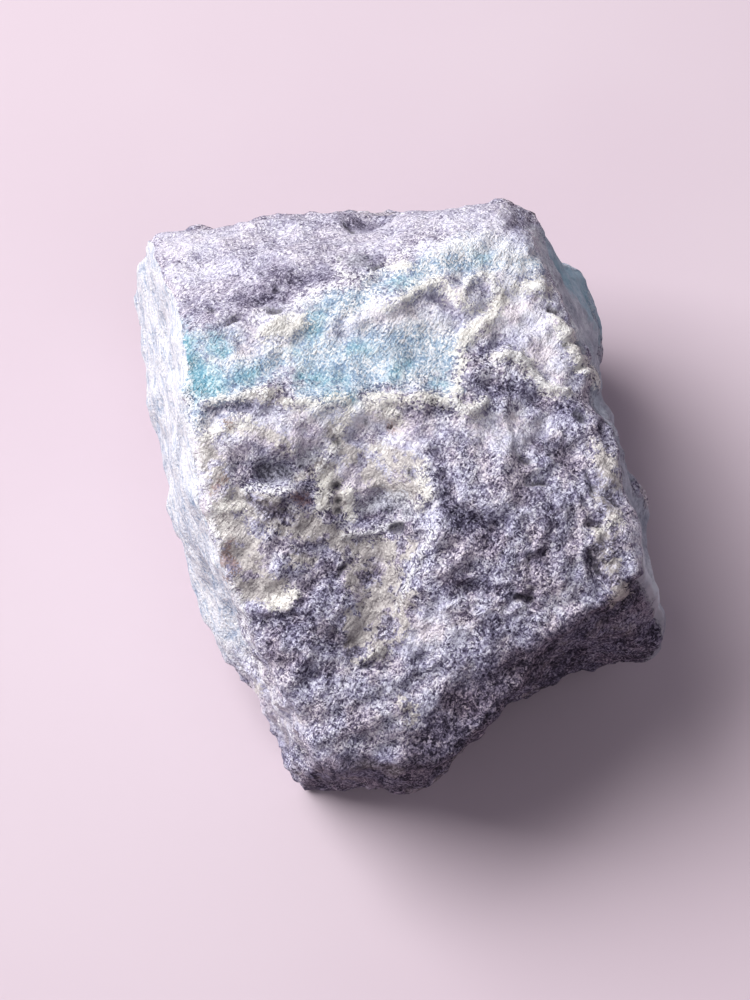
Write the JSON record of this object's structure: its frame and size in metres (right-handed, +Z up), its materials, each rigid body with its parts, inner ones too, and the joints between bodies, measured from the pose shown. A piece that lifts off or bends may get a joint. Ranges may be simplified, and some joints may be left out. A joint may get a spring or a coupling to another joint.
{
  "type": "raw larimar stone",
  "caption": "Hand-sized rough chunk of grey granular rock with a pale blue pectolite vein across its fresh face; a loose mineral specimen that lies flat on its broken back.",
  "frame": {"origin": "on the surface that the stone lies on, under the middle of its outer box", "axes": "+Z up, out of the fresh face; +Y along the stone's length towards the blue vein; +X to the right as seen from above"},
  "size_m": [0.0559, 0.0627, 0.0363],
  "materials": {
    "larimar_rock": "rough"
  },
  "bodies": {
    "root": {"larimar_chunk": "larimar_rock"}
  },
  "joints": []
}
